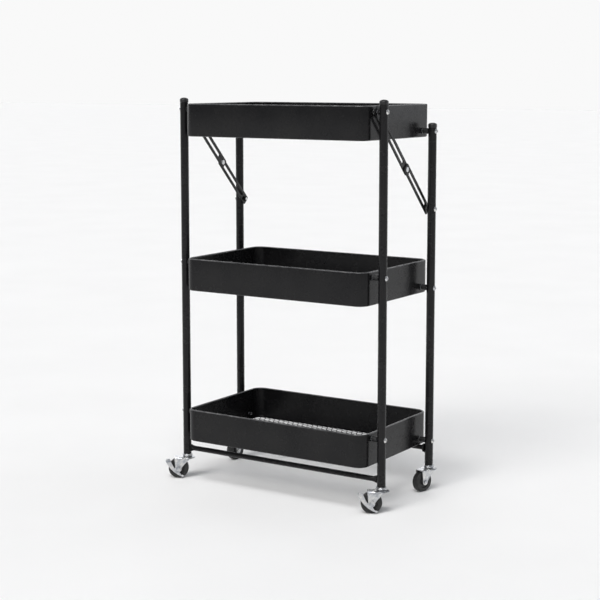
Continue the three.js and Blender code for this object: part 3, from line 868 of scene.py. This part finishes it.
def brake_lever(low_y, high_y):
    """A rocker of bright sheet: a boss on the axle, a strip along the tread and a foot blade."""
    outer = curve_points((19.4 * MM, 5.4 * MM), (8 * MM, -10.5 * MM), (-8.4 * MM, -16.2 * MM), 12)
    tip = arc(-9.2 * MM, -14.2 * MM, 2.0 * MM, 280, 100, 6)
    inner = curve_points((-7.4 * MM, -12.4 * MM), (-4 * MM, -10.5 * MM), (-2.4 * MM, -6.1 * MM), 4)
    boss = arc(0, 0, 6.5 * MM, 245, 12, 16)
    neck = curve_points((7.2 * MM, 1.8 * MM), (10.4 * MM, 5 * MM), (11.8 * MM, 9.4 * MM), 5)
    blade = arc(18.6 * MM, 18.2 * MM, 2.6 * MM, 160, 75, 5)
    blade += arc(22.4 * MM, 15.8 * MM, 2.8 * MM, 50, -35, 5)
    outline = outer + tip + inner + boss + neck + blade
    side_y = high_y - LEVER_SHEET / 2
    stand = Matrix(((1, 0, 0, TRAIL), (0, 0, -1, side_y), (0, 1, 0, WHEEL_RADIUS), (0, 0, 0, 1)))
    side = moved(plate(outline, LEVER_SHEET, 0.35 * MM, holes=[ring_of(2.8 * MM, 20)]), stand)
    lean, corner_radius, corner_start = math.radians(17), 2.2 * MM, 0.7
    half = Vector((-math.cos(lean), 0, math.sin(lean))) * 0.7 * MM
    rows, columns, steps = [], 9, 7
    for i in range(steps + 1):
        share = i / steps
        x = TRAIL + (21.6 + 2.6 * share) * MM
        z = WHEEL_RADIUS + (9.0 + 8.6 * share) * MM
        in_corner = max(0.0, (share - corner_start) / (1 - corner_start))
        corner = corner_radius * (1 - math.sqrt(max(0.0, 1 - in_corner ** 2)))
        low_row, high_row = [], []
        for k in range(columns):
            across = k / (columns - 1)
            crown = 0.6 * MM * math.sin(math.pi * across)
            y = low_y + corner + (high_y - 0.5 * MM - corner - low_y) * across
            centre = Vector((x + crown, y, z + 0.3 * crown))
            low_row.append(centre - half)
            high_row.append(centre + half)
        rows.append(low_row + high_row[::-1])
    points, faces = grid(rows, close_columns=True)
    faces += strip_caps(len(points), columns)
    return merged(side, softened((points, faces), 0.3 * MM, 50))


def casters():
    gap, blade_end = 0.3 * MM, -5 * MM
    for rank in RANKS:
        for side in SIDES:
            name = f"{rank}_{side}_caster"
            axis, hub = middle(f"{rank}_{side}_post"), middle(f"{name}_wheel")
            heading = math.atan2(hub.y - axis.y, hub.x - axis.x)
            place = Matrix.Translation((axis.x, axis.y, 0)) @ Matrix.Rotation(heading, 4, "Z")
            swivel, wheel = f"{name}_swivel", f"{name}_wheel"
            to_axle = Matrix.Translation((TRAIL, 0, WHEEL_RADIUS)) @ ALONG_Y
            tyre = moved(caster_tyre(), place @ to_axle)
            add_piece(f"{name}_tyre", tyre, "black_rubber", wheel, f"{name}_wheel")
            add_piece(f"{name}_hub", moved(caster_hub(), place @ to_axle), "black_plastic", wheel)
            low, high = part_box(f"{name}_stem")
            add_piece(f"{name}_stem_flange", moved(caster_stem(low, high), place), "zinc", f"{rank}_frame",
                      f"{name}_stem")
            fork = softened(caster_fork(), 0.3 * MM, 60)
            add_piece(f"{name}_fork_pressing", moved(fork, place), "zinc", swivel, f"{name}_fork")
            braked = rank == "front"
            far = LEG_INNER + LEG_SHEET + gap
            near = far + (LEVER_SHEET + gap if braked else 0)
            bolt = moved(axle_bolt(near, far), place)
            add_piece(f"{name}_axle_bolt", bolt, "zinc", swivel, f"{name}_axle")
            if braked:
                lever = brake_lever(blade_end, far + LEVER_SHEET)
                add_piece(f"{name}_brake_blade", moved(lever, place), "zinc", f"{name}_brake",
                          f"{name}_brake_lever")


# ---- Studio -------------------------------------------------------------------------------
BACKDROP = 0.947      # matches the lit floor, so that the horizon hardly shows


def sky_panel(tree, name, towards, half_angle, strength, colour):
    """A soft round panel of light in the distance, as a background shader's output."""
    nodes, links = tree.nodes, tree.links
    direction = nodes.new("ShaderNodeTexCoord").outputs["Generated"]
    facing = nodes.new("ShaderNodeVectorMath")
    facing.operation = "DOT_PRODUCT"
    facing.inputs[1].default_value = Vector(towards).normalized()
    links.new(direction, facing.inputs[0])
    edge = nodes.new("ShaderNodeMapRange")
    edge.interpolation_type = "SMOOTHSTEP"
    edge.inputs["From Min"].default_value = math.cos(math.radians(half_angle * 1.25))
    edge.inputs["From Max"].default_value = math.cos(math.radians(half_angle * 0.75))
    edge.inputs["To Max"].default_value = strength
    links.new(facing.outputs["Value"], edge.inputs["Value"])
    panel = nodes.new("ShaderNodeBackground")
    panel.label = name
    panel.inputs["Color"].default_value = (*colour, 1)
    links.new(edge.outputs["Result"], panel.inputs["Strength"])
    return panel.outputs["Background"]


def studio():
    floor_size = 30
    mesh = bpy.data.meshes.new("studio_floor")
    corners = [(x * floor_size, y * floor_size, 0) for x, y in ((-1, -1), (1, -1), (1, 1), (-1, 1))]
    mesh.from_pydata(corners, [], [(0, 1, 2, 3)])
    mesh.materials.append(pale_floor())
    floor = bpy.data.objects.new("studio_floor", mesh)
    bpy.context.scene.collection.objects.link(floor)

    world = bpy.data.worlds.new("studio")
    bpy.context.scene.world = world
    world.use_nodes = True
    tree = world.node_tree
    nodes, links = tree.nodes, tree.links
    room = nodes["Background"]
    room.inputs["Color"].default_value = (0.94, 0.96, 1.0, 1)
    room.inputs["Strength"].default_value = 0.26
    light = room.outputs["Background"]
    for panel in (     # name, direction, half angle in degrees, strength and colour
        ("front high", (-0.12, -0.75, 0.62), 12, 8.0, (1.0, 0.98, 0.95)),
        ("right rear", (0.66, 0.72, 0.25), 24, 1.1, (0.95, 0.97, 1.0)),
        ("left rear", (-0.62, 0.74, 0.3), 24, 1.3, (1.0, 1.0, 1.0)),
        ("left", (-0.99, 0.08, 0.14), 13, 2.0, (1.0, 1.0, 1.0)),
    ):
        total = nodes.new("ShaderNodeAddShader")
        links.new(light, total.inputs[0])
        links.new(sky_panel(tree, *panel), total.inputs[1])
        light = total.outputs["Shader"]
    backdrop = nodes.new("ShaderNodeBackground")
    backdrop.inputs["Color"].default_value = (1, 1, 1, 1)
    backdrop.inputs["Strength"].default_value = BACKDROP
    seen = nodes.new("ShaderNodeLightPath")
    mix = nodes.new("ShaderNodeMixShader")
    links.new(seen.outputs["Is Camera Ray"], mix.inputs["Fac"])
    links.new(light, mix.inputs[1])
    links.new(backdrop.outputs["Background"], mix.inputs[2])
    links.new(mix.outputs["Shader"], nodes["World Output"].inputs["Surface"])

    overhead = bpy.data.objects.new("overhead", bpy.data.lights.new("overhead", "SUN"))
    overhead.data.energy = 1.6
    overhead.data.angle = math.radians(30)
    overhead.rotation_euler = (math.radians(26), math.radians(10), 0)
    bpy.context.scene.collection.objects.link(overhead)
    bpy.context.scene.view_settings.view_transform = "Standard"


# ---- Assembly -----------------------------------------------------------------------------
def build():
    add_camera()
    for rank in RANKS:
        for side in SIDES:
            post(rank, side)
            post_cap(rank, side)
    front_crossbar()
    back_crossbar()
    for tray in TRAYS:
        tray_shell(tray)
        mesh_floor(tray)
    pivot_bolts()
    braces()
    casters()
    studio()


build()
